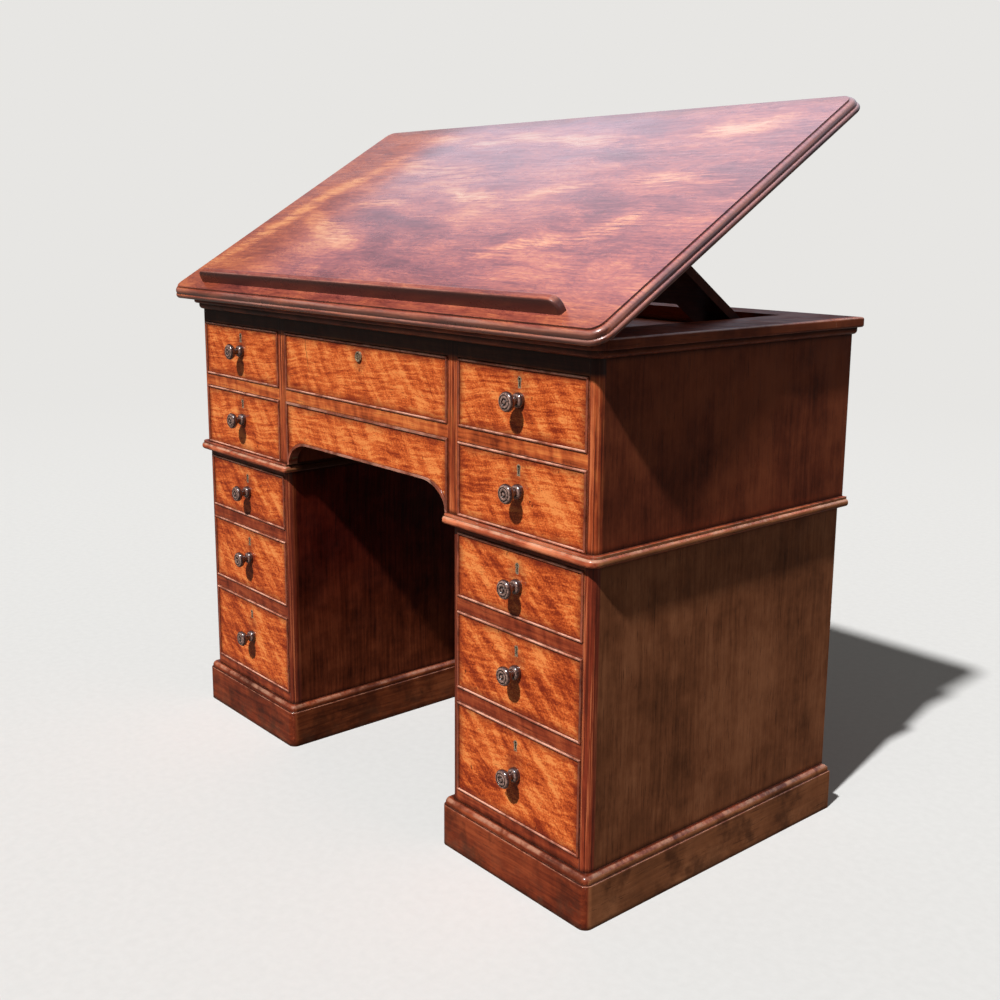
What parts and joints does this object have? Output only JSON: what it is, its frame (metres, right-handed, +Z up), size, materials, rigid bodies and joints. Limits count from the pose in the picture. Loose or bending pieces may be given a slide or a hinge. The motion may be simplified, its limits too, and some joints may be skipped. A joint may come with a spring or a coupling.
{
  "type": "architect's desk",
  "caption": "Twin-pedestal wooden desk with lockable drawers, an arched kneehole and a hinged writing slope raised on a folding prop.",
  "frame": {"origin": "the middle of the desk's footprint, on the floor", "axes": "+X to the right along the desk's front, +Y to its back, +Z up"},
  "size_m": [1.322, 0.6848, 1.297],
  "materials": {
    "flame_mahogany": "french-polished flame-figured mahogany veneer",
    "carcass_mahogany": "waxed red-brown mahogany",
    "polished_mahogany": "glossy french-polished figured mahogany",
    "turned_mahogany": "dark polished turned wood",
    "drawer_lining_wood": "bare planed wood",
    "aged_brass": "worn, darkened brass"
  },
  "bodies": {
    "carcass": {"right_pedestal_carcass": "carcass_mahogany", "left_pedestal_carcass": "carcass_mahogany", "right_pedestal_plinth": "carcass_mahogany", "left_pedestal_plinth": "carcass_mahogany", "upper_case_carcass": "carcass_mahogany", "kneehole_apron": "flame_mahogany", "waist_moulding": "carcass_mahogany", "cornice_moulding": "carcass_mahogany", "fixed_top": "carcass_mahogany", "prop_racks": "carcass_mahogany", "top_hinge_leaves": "aged_brass", "top_hinge_pins": "aged_brass"},
    "slope": {"slope_board": "polished_mahogany", "book_ledge": "polished_mahogany", "slope_hinge_leaves": "aged_brass"},
    "prop": {"prop_board": "carcass_mahogany", "prop_hinge_leaves": "aged_brass"},
    "centre_drawer": {"centre_drawer_box": "drawer_lining_wood", "centre_drawer_front": "flame_mahogany", "centre_drawer_lock": "aged_brass"},
    "left_pedestal_drawer_1": {"left_pedestal_drawer_1_box": "drawer_lining_wood", "left_pedestal_drawer_1_front": "flame_mahogany", "left_pedestal_drawer_1_knob": "turned_mahogany", "left_pedestal_drawer_1_lock": "aged_brass"},
    "left_pedestal_drawer_2": {"left_pedestal_drawer_2_box": "drawer_lining_wood", "left_pedestal_drawer_2_front": "flame_mahogany", "left_pedestal_drawer_2_knob": "turned_mahogany", "left_pedestal_drawer_2_lock": "aged_brass"},
    "left_pedestal_drawer_3": {"left_pedestal_drawer_3_box": "drawer_lining_wood", "left_pedestal_drawer_3_front": "flame_mahogany", "left_pedestal_drawer_3_knob": "turned_mahogany", "left_pedestal_drawer_3_lock": "aged_brass"},
    "right_pedestal_drawer_1": {"right_pedestal_drawer_1_box": "drawer_lining_wood", "right_pedestal_drawer_1_front": "flame_mahogany", "right_pedestal_drawer_1_knob": "turned_mahogany", "right_pedestal_drawer_1_lock": "aged_brass"},
    "right_pedestal_drawer_2": {"right_pedestal_drawer_2_box": "drawer_lining_wood", "right_pedestal_drawer_2_front": "flame_mahogany", "right_pedestal_drawer_2_knob": "turned_mahogany", "right_pedestal_drawer_2_lock": "aged_brass"},
    "right_pedestal_drawer_3": {"right_pedestal_drawer_3_box": "drawer_lining_wood", "right_pedestal_drawer_3_front": "flame_mahogany", "right_pedestal_drawer_3_knob": "turned_mahogany", "right_pedestal_drawer_3_lock": "aged_brass"},
    "upper_left_drawer_1": {"upper_left_drawer_1_box": "drawer_lining_wood", "upper_left_drawer_1_front": "flame_mahogany", "upper_left_drawer_1_knob": "turned_mahogany", "upper_left_drawer_1_lock": "aged_brass"},
    "upper_left_drawer_2": {"upper_left_drawer_2_box": "drawer_lining_wood", "upper_left_drawer_2_front": "flame_mahogany", "upper_left_drawer_2_knob": "turned_mahogany", "upper_left_drawer_2_lock": "aged_brass"},
    "upper_right_drawer_1": {"upper_right_drawer_1_box": "drawer_lining_wood", "upper_right_drawer_1_front": "flame_mahogany", "upper_right_drawer_1_knob": "turned_mahogany", "upper_right_drawer_1_lock": "aged_brass"},
    "upper_right_drawer_2": {"upper_right_drawer_2_box": "drawer_lining_wood", "upper_right_drawer_2_front": "flame_mahogany", "upper_right_drawer_2_knob": "turned_mahogany", "upper_right_drawer_2_lock": "aged_brass"}
  },
  "joints": [
    {"name": "slope_hinge", "type": "hinge", "parent": "carcass", "child": "slope", "pos_m": [0, -0.32064, 0.9302], "axis": [1, 0, 0], "range_deg": [-31, 14]},
    {"name": "prop_hinge", "type": "hinge", "parent": "slope", "child": "prop", "pos_m": [0, -0.06865, 1.07776], "axis": [1, 0, 0], "range_deg": [-29.71, 65.67]},
    {"name": "centre_drawer_slide", "type": "slide", "parent": "carcass", "child": "centre_drawer", "axis": [0, -1, 0], "range_m": [0, 0.42]},
    {"name": "left_pedestal_drawer_1_slide", "type": "slide", "parent": "carcass", "child": "left_pedestal_drawer_1", "axis": [0, -1, 0], "range_m": [0, 0.42]},
    {"name": "left_pedestal_drawer_2_slide", "type": "slide", "parent": "carcass", "child": "left_pedestal_drawer_2", "axis": [0, -1, 0], "range_m": [0, 0.42]},
    {"name": "left_pedestal_drawer_3_slide", "type": "slide", "parent": "carcass", "child": "left_pedestal_drawer_3", "axis": [0, -1, 0], "range_m": [0, 0.42]},
    {"name": "right_pedestal_drawer_1_slide", "type": "slide", "parent": "carcass", "child": "right_pedestal_drawer_1", "axis": [0, -1, 0], "range_m": [0, 0.42]},
    {"name": "right_pedestal_drawer_2_slide", "type": "slide", "parent": "carcass", "child": "right_pedestal_drawer_2", "axis": [0, -1, 0], "range_m": [0, 0.42]},
    {"name": "right_pedestal_drawer_3_slide", "type": "slide", "parent": "carcass", "child": "right_pedestal_drawer_3", "axis": [0, -1, 0], "range_m": [0, 0.42]},
    {"name": "upper_left_drawer_1_slide", "type": "slide", "parent": "carcass", "child": "upper_left_drawer_1", "axis": [0, -1, 0], "range_m": [0, 0.42]},
    {"name": "upper_left_drawer_2_slide", "type": "slide", "parent": "carcass", "child": "upper_left_drawer_2", "axis": [0, -1, 0], "range_m": [0, 0.42]},
    {"name": "upper_right_drawer_1_slide", "type": "slide", "parent": "carcass", "child": "upper_right_drawer_1", "axis": [0, -1, 0], "range_m": [0, 0.42]},
    {"name": "upper_right_drawer_2_slide", "type": "slide", "parent": "carcass", "child": "upper_right_drawer_2", "axis": [0, -1, 0], "range_m": [0, 0.42]}
  ],
  "couplings": [
    {"joint": "prop_hinge", "follows": "slope_hinge", "ratio": -2.1151}
  ]
}
